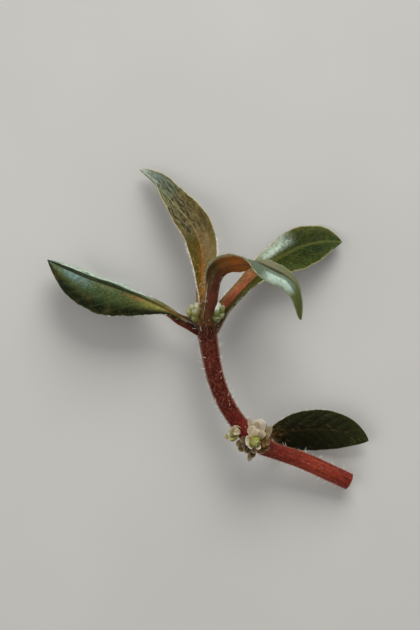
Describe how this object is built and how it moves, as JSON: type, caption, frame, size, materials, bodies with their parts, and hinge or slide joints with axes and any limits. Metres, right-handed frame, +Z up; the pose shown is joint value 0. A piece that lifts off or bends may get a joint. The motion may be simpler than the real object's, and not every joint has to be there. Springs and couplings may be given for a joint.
{
  "type": "mini alternanthera reineckii sprig",
  "caption": "Cut sprig of an aquarium plant lying on its back: bent red stem, spread and arching leaves, papery flower head at the lower node.",
  "frame": {"origin": "under the middle of the sprig's box, on the surface that it lies on", "axes": "+Z up from the surface, +Y towards the growing end of the sprig, +X to its right as seen from above"},
  "size_m": [0.0486, 0.0484, 0.0153],
  "materials": {
    "stem": "satin",
    "leaf_young": "satin",
    "leaf_green": "satin",
    "leaf_dark": "satin",
    "tepal": "matte",
    "bract": "matte"
  },
  "bodies": {
    "root": {"stem": "stem", "leaf_arching": "leaf_young", "leaf_upright": "leaf_young", "leaf_left": "leaf_green", "leaf_right": "leaf_green", "leaf_lower": "leaf_dark", "flower_head": "tepal", "flower_bud": "tepal", "bud_cluster_left": "bract", "bud_cluster_right": "bract"}
  },
  "joints": []
}
